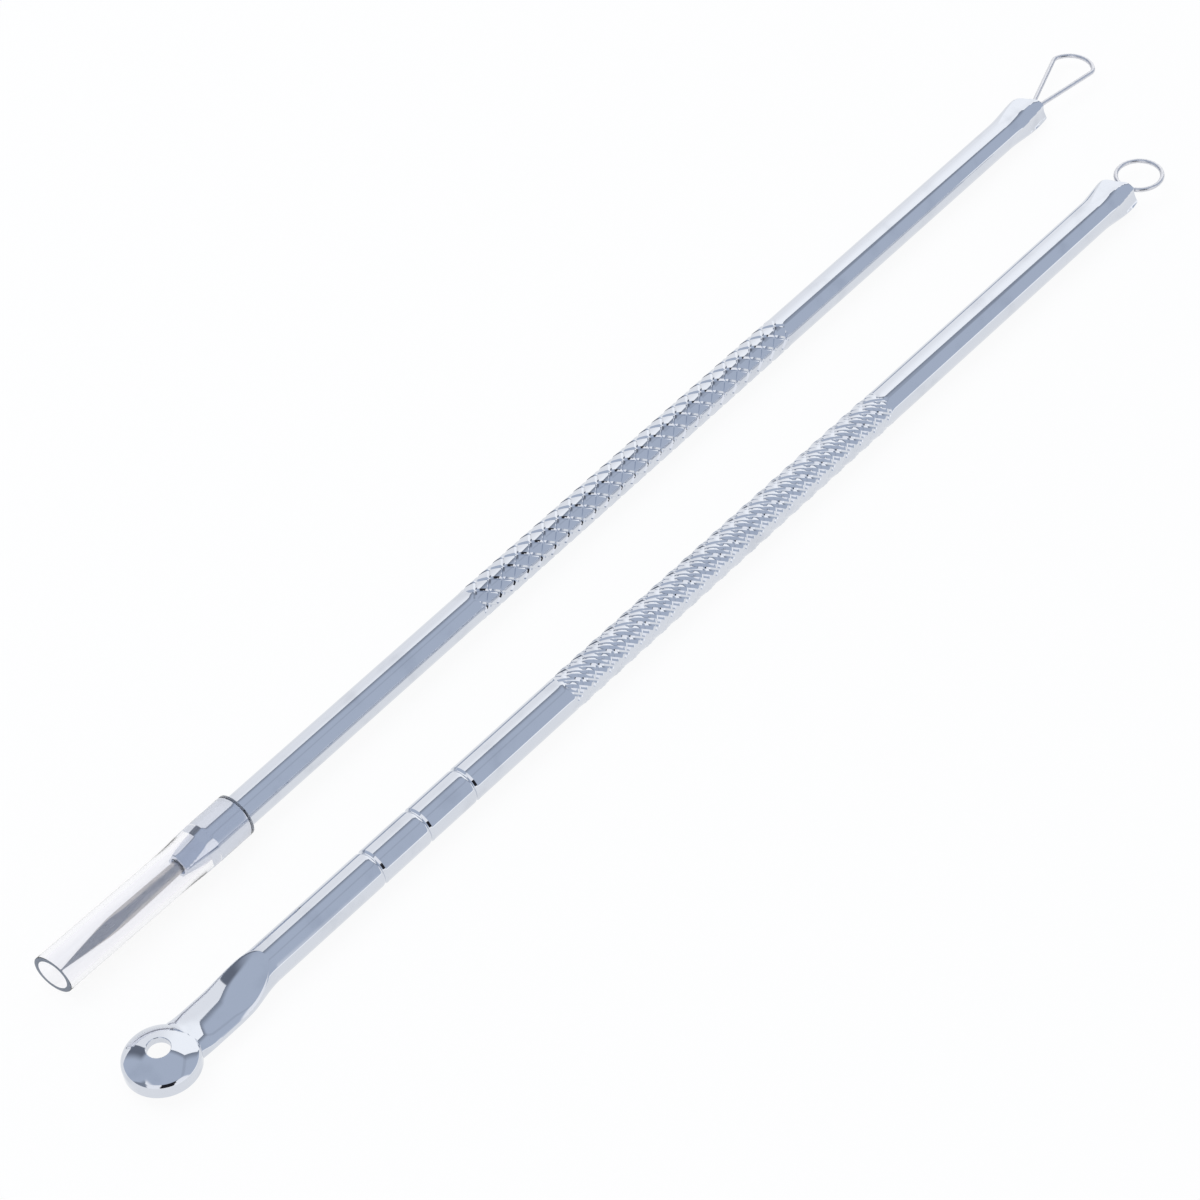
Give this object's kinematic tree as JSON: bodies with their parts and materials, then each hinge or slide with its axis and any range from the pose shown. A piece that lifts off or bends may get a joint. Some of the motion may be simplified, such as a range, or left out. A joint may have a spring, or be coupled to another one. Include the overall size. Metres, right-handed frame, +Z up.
{
  "type": "blackhead extractor set",
  "caption": "Slim knurled steel rods for skin care: one with a needle under a clear sleeve and a teardrop wire loop, one with a holed cup and a round wire loop.",
  "frame": {"origin": "on the surface that the tools lie on, under the middle of the set's box", "axes": "+X along the lancet tool from its needle towards its loop, +Y from the spoon tool towards the lancet tool, +Z up"},
  "size_m": [0.1274, 0.0158, 0.0036],
  "materials": {
    "chromed_rod": "bright mirror plating",
    "needle_steel": "ground satin",
    "loop_wire": "drawn bright wire",
    "clear_sleeve": "clear soft tube"
  },
  "bodies": {
    "spoon_tool": {"spoon_handle": "chromed_rod", "ring_loop": "loop_wire"},
    "lancet_tool": {"lancet_handle": "chromed_rod", "lancet_needle": "needle_steel", "teardrop_loop": "loop_wire"},
    "sleeve": {"needle_sleeve": "clear_sleeve"}
  },
  "joints": [
    {"name": "lancet_lift", "type": "slide", "parent": "spoon_tool", "child": "lancet_tool", "axis": [0, 0, 1], "range_m": [0, 0.03]},
    {"name": "sleeve_pull", "type": "slide", "parent": "lancet_tool", "child": "sleeve", "axis": [-1, 0, 0.0044], "range_m": [0, 0.02]}
  ]
}
